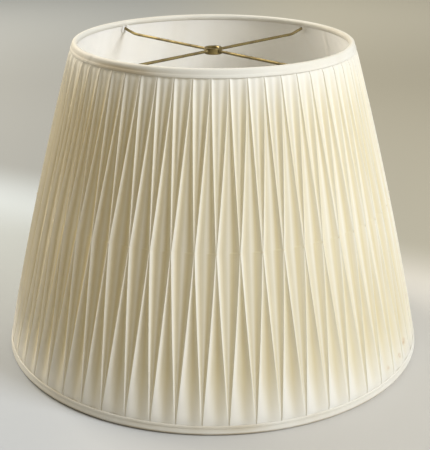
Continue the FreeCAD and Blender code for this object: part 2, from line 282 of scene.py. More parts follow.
def brassPaint(settings):
    paint = Paint("agedBrass")
    place = paint.place()
    cloudy = paint.noise(place, settings["cloudScale"], detail=5.0)
    specks = paint.noise(place, settings["speckScale"], detail=4.0)
    drawn = paint.noise(paint.stretched(place, settings["drawnScale"]), 1.0)
    clouds = cloudy.between(*settings["cloudSpread"]) * settings["cloudDark"]
    dark = (clouds + specks.between(*settings["speckSpread"]) * settings["speckDark"]).clipped()
    base = paint.blend(dark, settings["bright"], settings["patina"])
    spots = specks.between(*settings["spotSpread"]) * settings["spotDark"]
    base = paint.blend(spots, base, settings["spots"])
    relief = paint.bump(specks, settings["pitDepth"], 0.5)
    relief = paint.bump(drawn, settings["drawnDepth"], 0.3, relief)
    rough = dark * settings["darkRough"] + cloudy * settings["cloudRough"] + settings["rough"]
    return paint.finish({
        "Base Color": base, "Metallic": 1.0 - dark * settings["darkDull"], "Roughness": rough,
        "Normal": relief,
    })


def wirePaint(settings):
    paint = Paint("whitePaintedWire")
    chips = paint.noise(paint.place(), settings["chipScale"], detail=4.0)
    bare = chips.between(*settings["chipSpread"])
    base = paint.blend(bare, settings["enamel"], settings["rust"])
    return paint.finish({
        "Base Color": base, "Roughness": bare * settings["chipRough"] + settings["rough"],
        "Metallic": bare * settings["chipMetal"], "Normal": paint.bump(bare, settings["chipDepth"], 0.6),
        "Coat Weight": 0.15,
    })


# Mesh helpers.


def grid(name, points, material, values=None, wrapAcross=False, wrapUp=False):
    # points run up the rows and across the columns; across is towards rising azimuth, so faces look outwards
    rows, columns = points.shape[:2]
    number = np.arange(rows * columns).reshape(rows, columns)
    upper = np.roll(number, -1, 0) if wrapUp else number
    low = number if wrapUp else number[:-1]
    high = upper if wrapUp else number[1:]
    if wrapAcross:
        quads = [low, np.roll(low, -1, 1), np.roll(high, -1, 1), high]
    else:
        quads = [low[:, :-1], low[:, 1:], high[:, 1:], high[:, :-1]]
    faces = np.stack([q.ravel() for q in quads], -1)
    return shell(name, points.reshape(-1, 3), faces, material, values)


def creaseColumns(piece, columns, total):  # keeps the fold edges crisp
    mesh = piece.data
    ends = np.empty(len(mesh.edges) * 2, int)
    mesh.edges.foreach_get("vertices", ends)
    first, second = ends.reshape(-1, 2).T
    crisp = (first % total == second % total) & np.isin(first % total, columns)
    mesh.attributes.new("sharp_edge", "BOOLEAN", "EDGE").data.foreach_set("value", crisp)


def shell(name, points, faces, material, values=None):
    mesh = bpy.data.meshes.new(name)
    mesh.from_pydata(points.tolist(), [], faces.tolist())
    mesh.polygons.foreach_set("use_smooth", np.ones(len(mesh.polygons), bool))
    for label, data in (values or {}).items():
        data = np.asarray(data, np.float32)
        if label == "cloth":
            made = mesh.attributes.new(label, "FLOAT_VECTOR", "POINT")
            made.data.foreach_set("vector", data.reshape(-1))
        else:
            made = mesh.attributes.new(label, "FLOAT", "POINT")
            made.data.foreach_set("value", data.reshape(-1))
    mesh.materials.append(material)
    mesh.update()
    piece = bpy.data.objects.new(name, mesh)
    bpy.context.scene.collection.objects.link(piece)
    return piece


def turnOutwards(piece):
    sculpt = bmesh.new()
    sculpt.from_mesh(piece.data)
    bmesh.ops.recalc_face_normals(sculpt, faces=sculpt.faces)
    sculpt.to_mesh(piece.data)
    sculpt.free()


def place(piece, finish, *nodes):
    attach(piece, "root")
    if nodes:
        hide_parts(*nodes)


def loopTube(path, radius, sides):  # points round a closed path, as rows along it
    ahead = np.roll(path, -1, 0) - np.roll(path, 1, 0)
    ahead /= np.linalg.norm(ahead, axis=1)[:, None]
    side = np.cross(ahead, [0.0, 0.0, 1.0])
    side /= np.linalg.norm(side, axis=1)[:, None]
    top = np.cross(side, ahead)
    turn = np.linspace(0, fullTurn, sides, endpoint=False)
    spoke = np.cos(turn)[None, :, None] * side[:, None] + np.sin(turn)[None, :, None] * top[:, None]
    return path[:, None] + spoke * radius


# Pleated cover: 56 pleats pinched together half way up, so boxes and diamonds alternate.

cover = {
    "pleats": 56, "pinchShare": 0.506,
    "topSlit": -0.94, "pinch": 1.06, "bottomSlit": -2.5,  # azimuths of the first slit at three heights
    "uneven": 0.25,            # degrees that a fold edge may wander
    "tuckedUnder": 4.2 * mm,   # cloth hidden behind each slit, which isn't modelled
    "rest": 2.9 * mm,          # how far out the folds lie under the trims
    "lift": 1.0 * mm, "liftOver": 6.0 * mm, "trimReach": 5.2 * mm, "belly": 3.0 * mm,
    "innermost": 2.1 * mm,     # no fold goes further in than this
    "pinchGap": 0.3 * mm, "slitGap": 0.14 * mm,
    "rows": 31,                # from a trim to the pinch
    "trimZone": 0.35,          # share of the way from trim to pinch where the folds flatten
    "deeper": (0.88, 1.1), "lean": (-0.03, 0.03),
    # patches of painted shade over the dim left side: azimuth, share up the wall, how far each way, strength
    "paintedShade": [(-46.0, 0.5, 44.0, 0.48, 0.80), (-50.0, 0.84, 22.0, 0.2, 0.30)],
}
box = {  # the panel of a pleat
    "columns": 14, "depth": 0.34, "leastDepth": 0.3 * mm, "rise": 0.19, "fall": 0.56, "fallAtTrim": 0.14,
    "lowRise": 0.28, "lowRiseAtTrim": 0.34, "lowFall": 0.45, "lowEndAtTrim": 0.08,
    "hump": 0.46, "humpVary": (0.7, 1.15), "humpFrom": 0.25, "humpOver": 0.45, "humpAt": 0.47,
    "humpWidth": 0.11, "shadeFrom": 0.50, "shadeOver": 0.22, "lowShadeFrom": 0.38, "lowShadeOver": 0.25,
    # painted shade: the shade keys above place it on the far wall; these set its strength in the hollow and
    # on the far wall, the depth for full shade, and its fade near the trims
    "shapeTone": 0.58, "farTone": 0.48, "fullTone": 3.0 * mm, "trimFade": 0.65,
}
diamond = {  # the cloth between two pleats
    "columns": 12, "depth": 4.2 * mm, "fullWidth": 21 * mm, "rise": 0.19, "fall": 0.60, "lowFall": 0.53,
    "fallAtPinch": 0.03, "softAtTrim": 0.7, "ridge": 0.20, "ridgeAt": 0.44, "ridgeWidth": 0.09,
    # from here on, painted light and shade: the far wall of each diamond is painted darker and its middle
    # lighter; the tone keys set the painted shade
    "shadeBefore": 0.04, "shadeOver": 0.18, "crown": 0.30, "crownAt": 0.54, "crownWidth": 0.10,
    "shapeTone": 0.64, "farTone": 0.50, "fullTone": 2.4 * mm, "trimFade": 0.55,
}
# bunch spaces the columns; the other keys shape the painted shade near the fold edges and in shallow hollows
folding = {"bunch": 0.6, "edgeTone": 0.6, "edgeOver": 0.05, "leastTone": 0.1}
silk = silkPaint({
    "crest": colour(0.965, 0.965, 0.955), "crestAged": colour(0.94, 0.93, 0.89), "ageScale": 7.0,
    "ageSpread": (0.35, 0.75),
    # the hollow colours are painted shade for the hollows and far walls of the folds
    "hollow": colour(0.79, 0.715, 0.49), "hollowShadeDeep": colour(0.72, 0.625, 0.38), "deepSpread": (0.3, 0.7),
    "streakColour": colour(0.80, 0.72, 0.52), "streakTint": 0.10, "streakSpread": (0.55, 0.85),
    "streakScale": (420.0, 9.0, 0.0), "streakHeight": 0.00025,
    "slubScale": (90.0, 1400.0, 0.0), "slubHeight": 0.00006,
    # painted shade over the dim left side: its colour, its share on crests and in hollows, and its patchiness
    "paintedShadeColour": colour(0.70, 0.55, 0.25), "paintedShadeShares": (0.28, 1.0), "paintedShadePatchy": 0.5,
    "stain": colour(0.50, 0.24, 0.07), "stainOut": 4.5 * mm, "stainScale": 260.0, "stainSpread": (0.30, 0.62),
    # small spots: azimuth, share up the wall, radius in metres, strength
    "stains": [(65.5, 0.075, 0.006, 0.9), (60.0, 0.055, 0.0045, 0.8), (53.0, 0.05, 0.004, 0.7)],
    "threads": 2600.0, "threadHeight": 0.00003, "rough": 0.42, "foldRough": 0.12, "streakRough": 0.14,
    "through": 0.34, "glow": colour(0.88, 0.83, 0.68),
})


def foldEdges():  # azimuths of the slits at the top, at the pinch and at the bottom
    pitch = 360 / cover["pleats"]
    draws = rng.uniform(-1, 1, (3, cover["pleats"])) * cover["uneven"]
    first = -(cover["pleats"] // 2)
    starts = np.arange(first, first + cover["pleats"] + 1)
    return [
        cover[key] + starts * pitch + np.append(draw, draw[0])
        for key, draw in zip(("topSlit", "pinch", "bottomSlit"), draws)
    ]


def coverRows():  # shares up the wall, closer together at the trims and at the pinch
    middle = cover["pinchShare"]
    step = (1 - np.cos(np.linspace(0, np.pi, cover["rows"]))) / 2
    return np.append((middle * step)[:-1], middle + (1 - middle) * step)


def cellColumns(count):  # shares across a cell, closer together at its fold edges
    u = np.linspace(0, 1, count + 1)[None, :-1]
    return u - folding["bunch"] * np.sin(fullTurn * u) / fullTurn


def hollow(v, rise, fall, end, keen):
    # 0 at both fold edges and 1 along the bottom of the hollow; a keen one stays steep up to its far edge
    near = np.clip(v / rise, 0, 1)
    far = np.clip((v - fall) / (end - fall), 0, 1)
    soft = ease(near) * (1 - ease(far))
    steep = (0.5 * ease(near) + 0.5 * (1 - (1 - near) ** 2)) * (1 - far ** 2)
    return soft + (steep - soft) * keen


def boxShape(v, low, toTrim, nearTrim, lean):
    upperFall = box["fall"] + lean + box["fallAtTrim"] * nearTrim
    upper = hollow(v, box["rise"], upperFall, 1.0, 1 - nearTrim)
    hump = box["hump"] * ease((toTrim - box["humpFrom"]) / box["humpOver"]) * rng.uniform(*box["humpVary"])
    upper = upper - hump * bell((v - box["humpAt"] - lean) / box["humpWidth"])
    lowRise = box["lowRise"] + box["lowRiseAtTrim"] * nearTrim + lean
    lowEnd = 1 - box["lowEndAtTrim"] * nearTrim
    lower = hollow(v, lowRise, box["lowFall"] + lean, lowEnd, 1 - nearTrim)
    return np.where(low, lower, upper)


def shadeTone(cell, shape, farSide, v, deep, nearTrim):
    # painted shade, seen as a yellow-tan: 0 on a crest, 1 in a hollow, more on the far wall
    farSide = farSide * (1 - folding["edgeTone"] * ease((v - 1 + folding["edgeOver"]) / folding["edgeOver"]))
    fade = ease(deep / cell["fullTone"] + folding["leastTone"]) * (1 - cell["trimFade"] * nearTrim)
    return (cell["shapeTone"] * shape ** 2 + cell["farTone"] * farSide) * fade, fade


def makeCover():
    top, pinch, bottom = foldEdges()
    share = coverRows()
    middle = cover["pinchShare"]
    above = share > middle
    low = (~above)[:, None]
    awayFromPinch = np.where(above, (share - middle) / (1 - middle), (middle - share) / middle)
    toTrim = awayFromPinch[:, None]  # 0 at the pinch, 1 at a trim
    nearTrim = ease((toTrim - 1 + cover["trimZone"]) / cover["trimZone"])
    end = np.where(above[:, None], top, bottom)
    radius = (bottomRing["radius"] - share * slant * leanSine)[:, None]
    gap = np.degrees((cover["pinchGap"] * (1 - toTrim) - cover["slitGap"] * toTrim) / radius)
    left = pinch + (end - pinch) * toTrim - gap  # the fold edges that start at each slit
    right = pinch[:-1] + (end[:, 1:] - pinch[:-1]) * toTrim + gap  # and those that lean the other way
    endDistance = np.minimum(share, 1 - share) * slant
    ramp = ease((endDistance - cover["trimReach"]) / cover["liftOver"])
    crest = (cover["rest"] + cover["lift"] * ramp + cover["belly"] * 4 * share * (1 - share) * ramp)[:, None]
    boxV, diamondV = cellColumns(box["columns"]), cellColumns(diamond["columns"])
    azimuths, outs, tones = [], [], []
    for k in range(cover["pleats"]):
        vary = rng.uniform(*cover["deeper"], 2)
        lean = rng.uniform(*cover["lean"], 2)
        width = np.radians(right[:, k] - left[:, k])[:, None] * radius
        shape = boxShape(boxV, low, toTrim, nearTrim, lean[0])
        deep = (box["depth"] * width * (1 - toTrim ** 3) + box["leastDepth"]) * vary[0]
        deep = np.minimum(deep, crest - cover["innermost"])
        azimuths.append(left[:, k, None] + (right[:, k, None] - left[:, k, None]) * boxV)
        outs.append(crest - deep * shape)
        # painted shade on the far wall of each box
        lowSide = ease((boxV - box["lowShadeFrom"]) / box["lowShadeOver"])
        farSide = np.where(low, lowSide, ease((boxV - box["shadeFrom"]) / box["shadeOver"]))
        tones.append(shadeTone(box, shape, farSide, boxV, deep, nearTrim)[0])

        width = np.radians(left[:, k + 1] - right[:, k])[:, None] * radius
        fall = np.where(low, diamond["lowFall"], diamond["fall"]) + lean[1]
        fall = fall + diamond["fallAtPinch"] * (1 - toTrim)
        shape = hollow(diamondV, diamond["rise"], fall, 1.0, 1 - nearTrim * diamond["softAtTrim"])
        ridge = diamond["ridge"] * bell((diamondV - diamond["ridgeAt"]) / diamond["ridgeWidth"])
        shape = shape - ridge * (1 - toTrim)
        deep = diamond["depth"] * np.sqrt(width / diamond["fullWidth"]) * vary[1]
        deep = np.minimum(deep, crest - cover["innermost"])
        azimuths.append(right[:, k, None] + (left[:, k + 1, None] - right[:, k, None]) * diamondV)
        outs.append(crest - deep * shape)
        # painted shade on the far wall of each diamond
        farSide = ease((diamondV - fall + diamond["shadeBefore"]) / diamond["shadeOver"])
        tone, fade = shadeTone(diamond, shape, farSide, diamondV, deep, nearTrim)
        # painted light: the middle of each diamond gets less of the painted shade, so it is lighter
        crown = diamond["crown"] * bell((diamondV - diamond["crownAt"]) / diamond["crownWidth"])
        tones.append(tone - crown * fade)
    azimuths.append(left[:, -1:])
    outs.append(crest)
    tones.append(crest * 0)
    azimuth, out, tone = [np.concatenate(x, 1) for x in (azimuths, outs, tones)]
    along = np.broadcast_to((share * slant)[:, None], azimuth.shape)
    points = onWall(azimuth, along, out)
    run = np.linalg.norm(np.diff(points, axis=1, prepend=points[:, :1]), axis=2).cumsum(1)
    clothLength = float(run[:, -1].mean())
    print("stage: cover,", round(clothLength, 3), "m of cloth round the shade")
    # painted shade over the dim left side of the shade, as soft patches
    paintedShade = tone * 0
    for around, up, reachAround, reachUp, strength in cover["paintedShade"]:
        distance = ((azimuth - around) / reachAround) ** 2 + ((share[:, None] - up) / reachUp) ** 2
        paintedShade += strength * np.exp(-distance)
    values = {"cloth": clothPlace(run[len(run) // 2], along), "foldShade": tone, "paintedShade": paintedShade}
    piece = grid("pleatedCover", points, silk, values)
    starts = np.arange(cover["pleats"]) * (box["columns"] + diamond["columns"])
    creaseColumns(piece, np.concatenate([starts, starts + box["columns"]]), points.shape[1])
    return piece, pinch, clothLength + cover["pleats"] * cover["tuckedUnder"]


coverPiece, pinchAzimuths, coverCut = makeCover()
place(coverPiece, "pleated_silk", "pleated_cover")


# Thread tacks that hold each pair of folds together.

tack = {
    "thread": 0.46 * mm, "loops": 3, "spread": 0.6 * mm, "reach": 0.75 * mm, "sink": 0.9 * mm,
    "proud": 0.36 * mm, "lean": 0.35 * mm, "spreadVary": (0.8, 1.15), "steps": 20, "sides": 8, "wearAndShade": 0.2,
    "stepLength": 0.5 * mm, "sideLength": 0.17 * mm,
}
threadCotton = clothPaint("tackThread", {
    "colour": colour(0.90, 0.86, 0.76), "aged": colour(0.84, 0.77, 0.62), "dirtAndShadeColour": colour(0.6, 0.5, 0.34),
    "grainColour": colour(0.78, 0.70, 0.54), "grainTint": 0.3, "grain": (1400.0, 5200.0, 0.0),
    "broadScale": 30.0, "broadHeight": 0.00002, "grainHeight": 0.00004, "threads": 900.0, "bias": 0.8,
    "threadHeight": 0.00006, "rough": 0.62, "sheen": 0.1,
})


def makeTacks(pinchAzimuths):
    steps, sides = tack["steps"], tack["sides"]
    turn = np.linspace(0, fullTurn, steps, endpoint=False)
    outward = cover["rest"] + cover["lift"] + cover["belly"]
    loops = []
    for azimuth in pinchAzimuths[:-1]:
        for loop in range(tack["loops"]):
            offset = (loop - (tack["loops"] - 1) / 2) * tack["spread"] * rng.uniform(*tack["spreadVary"])
            along = cover["pinchShare"] * slant + offset
            lean = rng.uniform(-1, 1) * tack["lean"]
            radius = bottomRing["radius"] - along * leanSine
            sideways = np.degrees(tack["reach"] * np.cos(turn) / radius)
            depth = np.where(np.sin(turn) > 0, tack["proud"], tack["sink"]) * np.sin(turn)
            path = onWall(azimuth + sideways, along + lean * np.cos(turn), outward + depth)
            loops.append(loopTube(path, tack["thread"] / 2, sides))
    number = np.arange(len(loops) * steps * sides).reshape(len(loops), steps, sides)
    ahead, beside = np.roll(number, -1, 1), np.roll(number, -1, 2)
    faces = np.stack([number, beside, np.roll(ahead, -1, 2), ahead], -1).reshape(-1, 4)
    across = np.arange(sides)[None] * tack["sideLength"]
    onThread = clothPlace(across, np.arange(steps)[:, None] * tack["stepLength"])
    values = {"cloth": np.tile(onThread, (len(loops), 1, 1)), "wearAndShade": np.full(number.size, tack["wearAndShade"])}
    piece = shell("pinchTacks", np.array(loops).reshape(-1, 3), faces, threadCotton, values)
    turnOutwards(piece)
    return piece


tackPiece = makeTacks(pinchAzimuths)
place(tackPiece, "thread", "pinch_stitches")
print("stage: tacks")


# Bias strips over both rings.

trim = {
    "legDown": 6.4 * mm, "innerDown": 2.5 * mm, "thick": 0.5 * mm, "around": 840,
    "crownMiddle": 0.45 * mm, "crownRadius": 2.9 * mm,
    # the turned hem of the outer leg: up from its end, and out in shares of the hem's thickness
    "hem": 0.5 * mm, "hemProfile": [
        (0.05, 0.6), (0.45, 1.0), (1.2, 1.0), (2.0, 0.9), (2.5, 0.75), (2.9, 0.04), (3.6, -0.04), (4.8, 0.0),
    ],
    "pucker": 0.16 * mm, "puckerFrom": 3.05 * mm, "puckerLeast": 0.3,
    "uneven": 0.16 * mm, "unevenFrom": 2.5 * mm,
    "lapStep": 0.42 * mm, "lapSlant": 6 * mm, "lapStart": (-0.25, 0.35), "lapEnd": (4.2, 1.6),  # degrees
    "wear": 0.35, "wearLeast": 0.35, "lapWear": 0.8, "lapWearAt": -0.05, "lapWearWidth": 0.22,
    # how far the darker patches reach over the face and past the ring
    "faceDarkOver": 0.4, "edgeShadeOver": 2.2 * mm,
}
biasCloth = clothPaint("biasCloth", {
    "colour": colour(0.86, 0.845, 0.79), "aged": colour(0.82, 0.79, 0.71),
    # the first colour on the next line darkens the trims for dirt and for painted shade
    "dirtAndShadeColour": colour(0.60, 0.52, 0.385), "grainColour": colour(0.83, 0.79, 0.69),
    "grainTint": 0.25, "grain": (260.0, 900.0, 0.0),
    "broadScale": 16.0, "broadHeight": 0.0004, "grainHeight": 0.00008, "threads": 1900.0, "bias": 1.0,
    "threadHeight": 0.00004, "rough": 0.5, "sheen": 0.15, "through": 0.20, "glow": colour(0.84, 0.82, 0.76),
})


def trimSection():
    # out from the ring's middle and past it, for points round the closed section; also how many lie outside
    middle, radius = trim["crownMiddle"], trim["crownRadius"]
    outer, inner = middle + radius, middle - radius
    down, leg, thick = trim["legDown"], trim["innerDown"], trim["thick"]
    outside = [(outer - thick + 0.04 * mm, -down), (outer - 0.2 * mm, -down - 0.08 * mm)]
    outside += [(outer + out * trim["hem"], up * mm - down) for up, out in trim["hemProfile"]]
    outside += [(middle + radius * math.cos(a), radius * math.sin(a)) for a in np.linspace(0, math.pi, 17)]
    inside = [  # the inner leg dies away against the lining
        (inner, -leg * 0.3), (inner + 0.1 * mm, -leg * 0.6), (inner + 0.26 * mm, -leg),
        (inner + 0.4 * mm, -leg - 0.12 * mm), (inner + thick, -leg + 0.1 * mm), (inner + thick, -leg * 0.5),
    ]
    hollow = radius - thick
    inside += [(middle + hollow * math.cos(a), hollow * math.sin(a)) for a in np.linspace(math.pi, 0, 13)]
    inside += [(outer - thick, -down * 0.3), (outer - thick, -down * 0.65)]
    return np.array(outside + inside), len(outside)


def makeTrim(name, base, side, lapAzimuth, seed, dirtAndShade):
    section, outsideCount = trimSection()
    azimuth = np.linspace(-180, 180, trim["around"], endpoint=False)
    out, beyond = [np.repeat(section[:, i, None], len(azimuth), 1) for i in (0, 1)]
    legShare = np.clip(-beyond / trim["legDown"], 0, 1)  # 0 at the ring, 1 at the hem
    outerLeg = out > trim["unevenFrom"]
    slow = wobble(azimuth, seed)[None]
    quick = wobble(azimuth * 3.0, seed + 1, 9)[None]
    fuller = trim["puckerLeast"] + (1 - trim["puckerLeast"]) * legShare
    out += np.where(out > trim["puckerFrom"], (slow + quick) / 2 * trim["pucker"] * fuller, 0)
    beyond += np.where(outerLeg, slow * trim["uneven"] * legShare, 0)

    # the strip's end laps over its start on a slant
    onSkin = np.zeros((len(section), 1))
    onSkin[1:outsideCount + 5] = 1.0
    lean = np.degrees((section[:, 1, None] + trim["lapSlant"]) / bottomRing["radius"])
    gap = turnFrom(azimuth[None] - lean, lapAzimuth)
    (startAt, startOver), (endAt, endOver) = trim["lapStart"], trim["lapEnd"]
    lap = ease((gap - startAt) / startOver) * (1 - ease((gap - endAt) / endOver)) * onSkin * trim["lapStep"]
    away = np.stack([out - trim["crownMiddle"], np.maximum(beyond, 0)])
    away = away / np.maximum(np.linalg.norm(away, axis=0), 1e-6)
    out += away[0] * lap
    beyond += away[1] * lap

    points = onWall(azimuth[None], base + side * beyond, out)
    points[..., 2] = np.maximum(points[..., 2], 0.0)  # the lower strip stands flat
    girth = np.linalg.norm(np.diff(section, axis=0, prepend=section[:1]), axis=1).cumsum()
    lengthways = np.radians(azimuth)[None] * (bottomRing["radius"] - base * leanSine)
    handled = trim["wearLeast"] + (1 - trim["wearLeast"]) * legShare
    wearAndShade = trim["wear"] * ease((wobble(azimuth, seed + 5)[None] + 0.1) / 0.9) * handled
    wearAndShade = wearAndShade + trim["lapWear"] * bell((gap - trim["lapWearAt"]) / trim["lapWearWidth"]) * onSkin
    # darker patches, partly painted shade
    for middle, reach, face, edge in dirtAndShade:  # azimuth, spread, strength on the face and past the ring
        onFace = face * ease(legShare / trim["faceDarkOver"])
        onEdge = edge * ease(beyond / trim["edgeShadeOver"])
        wearAndShade = wearAndShade + bell(turnFrom(azimuth[None], middle) / reach) * (onFace + onEdge)
    values = {"cloth": clothPlace(lengthways, girth[:, None]), "wearAndShade": wearAndShade}
    piece = grid(name, points, biasCloth, values, wrapAcross=True, wrapUp=True)
    turnOutwards(piece)
    return piece


# darker patches: on the upper strip, painted shade over the front left of its face, where the side of the
# shade is dim; on the lower strip, darker across the front of its face, and painted shade with some dirt
# along the edge on the floor
topTrim = makeTrim("topTrim", slant, 1.0, -60.0, 11, [(-38.0, 24.0, 1.2, 0.1)])
bottomTrim = makeTrim("bottomTrim", 0.0, -1.0, 152.0, 23, [(2.0, 26.0, 0.45, 0.0), (0.0, 300.0, 0.0, 1.2)])
place(topTrim, "bias_trim", "top_trim")
place(bottomTrim, "bias_trim", "bottom_trim")
print("stage: trims")


# Lining, stretched smooth inside the frame.

lining = {
    "out": -2.0 * mm, "around": 480, "rows": 64, "from": 1.2 * mm, "to": 334.6 * mm, "mostInward": 1.0 * mm,
    "ripple": 0.14 * mm, "rippleLeast": 0.3, "edgeOver": (0.03, 0.01),
    # pulled folds that run down from the arms: azimuth, lean, size
    "creases": [(45, 0.16, 0.8), (135, -0.55, 1.1), (135, 0.1, 0.5), (225, 0.02, 0.3), (315, -0.2, 0.8)],
    "pull": 0.5 * mm, "creaseTop": 9 * mm, "creaseWidth": 3.2 * mm, "creaseOver": (8 * mm, 10 * mm),
    "creaseLength": 30 * mm,
    "seam": 0.45 * mm, "seamAzimuth": 119.0, "seamStart": (-0.35, 0.5), "seamEnd": (1.6, 0.5),  # degrees
    "wear": 0.25, "creaseShade": 2 * mm,
}
liningSilk = clothPaint("liningCloth", {
    "colour": colour(0.972, 0.972, 0.965), "aged": colour(0.955, 0.95, 0.935),
    # the first colour on this line darkens the lining for dirt and for painted shade along the creases
    "dirtAndShadeColour": colour(0.82, 0.77, 0.68), "grainColour": colour(0.93, 0.92, 0.90),
    "grainTint": 0.15, "grain": (300.0, 40.0, 0.0),
    "broadScale": 6.0, "broadHeight": 0.0006, "grainHeight": 0.00006, "threads": 2100.0, "bias": 0.0,
    "threadHeight": 0.00003, "rough": 0.6, "sheen": 0.1, "through": 0.14, "glow": colour(0.96, 0.95, 0.92),
})


def makeLining():
    azimuth = np.linspace(-180, 180, lining["around"], endpoint=False)[None]
    share = np.linspace(0, 1, lining["rows"])[:, None]
    along = lining["from"] + share * (lining["to"] - lining["from"])
    nearRings = lining["rippleLeast"] + (1 - lining["rippleLeast"]) * np.abs(2 * share - 1) ** 1.5
    inward = lining["ripple"] * (1 + wobble(azimuth * 4.0 + share * 6.0, 71, 11)) * nearRings
    below = slant - lining["creaseTop"] - along
    above, over = lining["creaseOver"]
    fade = ease((below + above) / over) * np.exp(-np.maximum(below, 0) / lining["creaseLength"])
    for arm, lean, size in lining["creases"]:
        crease = np.radians(turnFrom(azimuth, arm)) * topRing["radius"] - below * lean
        inward = inward + lining["pull"] * size * bell(crease / lining["creaseWidth"]) * fade
    gap = turnFrom(azimuth, lining["seamAzimuth"])
    (startAt, startOver), (endAt, endOver) = lining["seamStart"], lining["seamEnd"]
    inward = inward + lining["seam"] * ease((gap - startAt) / startOver) * (1 - ease((gap - endAt) / endOver))
    lowOver, highOver = lining["edgeOver"]
    inward = np.minimum(inward, lining["mostInward"]) * ease(share / lowOver) * ease((1 - share) / highOver)
    points = onWall(azimuth, along, lining["out"] - inward)
    lengthways = np.radians(azimuth) * (bottomRing["radius"] + topRing["radius"]) / 2
    # random wear, plus painted shade wherever the lining is pulled inwards: the creases, the ripples and the
    # seam
    wearAndShade = lining["wear"] * ease(wobble(azimuth + share * 20, 72) + 0.2) + inward / lining["creaseShade"]
    values = {"cloth": clothPlace(lengthways, along), "wearAndShade": wearAndShade}
    return grid("liningSheet", points, liningSilk, values, wrapAcross=True)


liningPiece = makeLining()
place(liningPiece, "lining_cloth", "lining")
print("stage: lining")


# Small folded straps that come down from the rim and go round under each arm.

armAzimuths = (135, 225, 315, 45)
strap = {
    "legOut": 2.9 * mm, "half": 1.55 * mm, "top": 1.6 * mm, "turnAt": 7.2 * mm, "out": -2.95 * mm,
    "thick": 0.42 * mm, "legSteps": 9, "turnSteps": 15, "turnDeep": 0.85,
    "spread": 0.18, "spreadVary": (0.6, 1.3), "spreadFrom": 3 * mm, "spreadOver": 5 * mm,
    "crumple": 0.10 * mm, "wearAndShade": 0.15,
    "section": [  # across in halves of the width, up in thicknesses
        (-1, 0.15), (-0.92, 0.85), (-0.5, 1.15), (0, 0.95), (0.5, 1.2),
        (0.92, 0.8), (1, 0.1), (0.9, -0.5), (0, -0.6), (-0.9, -0.5),
    ],
}
strapCloth = clothPaint("strapCloth", {
    "colour": colour(0.95, 0.95, 0.94), "aged": colour(0.92, 0.91, 0.88), "dirtAndShadeColour": colour(0.80, 0.75, 0.66),
    "grainColour": colour(0.88, 0.87, 0.84), "grainTint": 0.15, "grain": (900.0, 300.0, 0.0),
    "broadScale": 40.0, "broadHeight": 0.0002, "grainHeight": 0.00006, "threads": 2100.0, "bias": 0.0,
    "threadHeight": 0.00003, "rough": 0.55, "sheen": 0.1,
})


def soften(piece):
    rounded = piece.modifiers.new("soft", "SUBSURF")
    rounded.levels = rounded.render_levels = 1
    return piece


def makeStrap(index, azimuth):
    legLength = strap["turnAt"] - strap["top"]
    legs = np.linspace(0, 1, strap["legSteps"]) * legLength
    turn = np.linspace(0, np.pi, strap["turnSteps"])[1:-1]
    side = np.full(strap["legSteps"], strap["legOut"])
    across = np.concatenate([-side, -strap["legOut"] * np.cos(turn), side])
    under = strap["turnAt"] + strap["legOut"] * strap["turnDeep"] * np.sin(turn)
    down = np.concatenate([strap["top"] + legs, under, strap["turnAt"] - legs])
    path = np.stack([across, down], -1)
    lower = ease((path[:, 1] - strap["spreadFrom"]) / strap["spreadOver"])
    path[:, 0] *= 1 + strap["spread"] * lower * rng.uniform(*strap["spreadVary"])
    ahead = np.gradient(path, axis=0)
    ahead /= np.linalg.norm(ahead, axis=1)[:, None]
    normal = np.stack([-ahead[:, 1], ahead[:, 0]], -1)
    section = np.array(strap["section"])
    flat = path[:, None] + normal[:, None] * section[None, :, :1] * strap["half"]
    crumple = rng.uniform(-1, 1, (len(path), 1)) * strap["crumple"]
    out = strap["out"] - section[None, :, 1] * strap["thick"] + crumple
    points = onWall(azimuth + np.degrees(flat[..., 0] / topRing["radius"]), slant - flat[..., 1], out)
    values = {"cloth": clothPlace(flat[..., 0], flat[..., 1]), "wearAndShade": np.full(out.shape, strap["wearAndShade"])}
    piece = grid(f"armStrap{index}", points, strapCloth, values, wrapAcross=True)
    turnOutwards(piece)
    return soften(piece)


straps = []
for index, azimuth in enumerate(armAzimuths, 1):
    straps.append(makeStrap(index, azimuth))
    place(straps[-1], "lining_cloth", f"arm_gusset_{index}")
print("stage: straps")


# Cotton tape wound round both rings under the cloth.

tape = {"radius": 1.74 * mm, "pitch": 6.5 * mm, "step": 0.14 * mm, "sides": 14, "perTurn": 5, "wide": 11 * mm}
tapeCotton = clothPaint("cottonTape", {
    "colour": colour(0.88, 0.85, 0.76), "aged": colour(0.80, 0.74, 0.60), "dirtAndShadeColour": colour(0.6, 0.5, 0.36),
    "grainColour": colour(0.76, 0.70, 0.56), "grainTint": 0.3, "grain": (700.0, 700.0, 0.0),
    "broadScale": 20.0, "broadHeight": 0.0001, "grainHeight": 0.00008, "threads": 1100.0, "bias": 0.0,
    "threadHeight": 0.0001, "rough": 0.75, "sheen": 0.1,
})


def makeTape(name, ring, base):
    turns = int(round(2 * math.pi * ring["radius"] / tape["pitch"]))
    count = turns * tape["perTurn"]
    azimuth = np.linspace(-180, 180, count, endpoint=False)[None]
    roll = np.linspace(0, 1, tape["sides"], endpoint=False)[:, None]
    phase = (azimuth / 360 * turns - roll) % 1.0  # the tape's edge winds once round the wire each turn
    radius = tape["radius"] + tape["step"] * phase
    out = radius * np.cos(roll * 2 * np.pi)
    beyond = radius * np.sin(roll * 2 * np.pi)
    points = onWall(azimuth, base + beyond, out)
    clothAt = clothPlace(np.radians(azimuth) * ring["radius"], roll * tape["wide"])
    # darker just past each turn's lapped edge, fading over the turn
    values = {"cloth": clothAt, "wearAndShade": 1 - phase}
    piece = grid(name, points, tapeCotton, values, wrapAcross=True, wrapUp=True)
    turnOutwards(piece)
    return piece


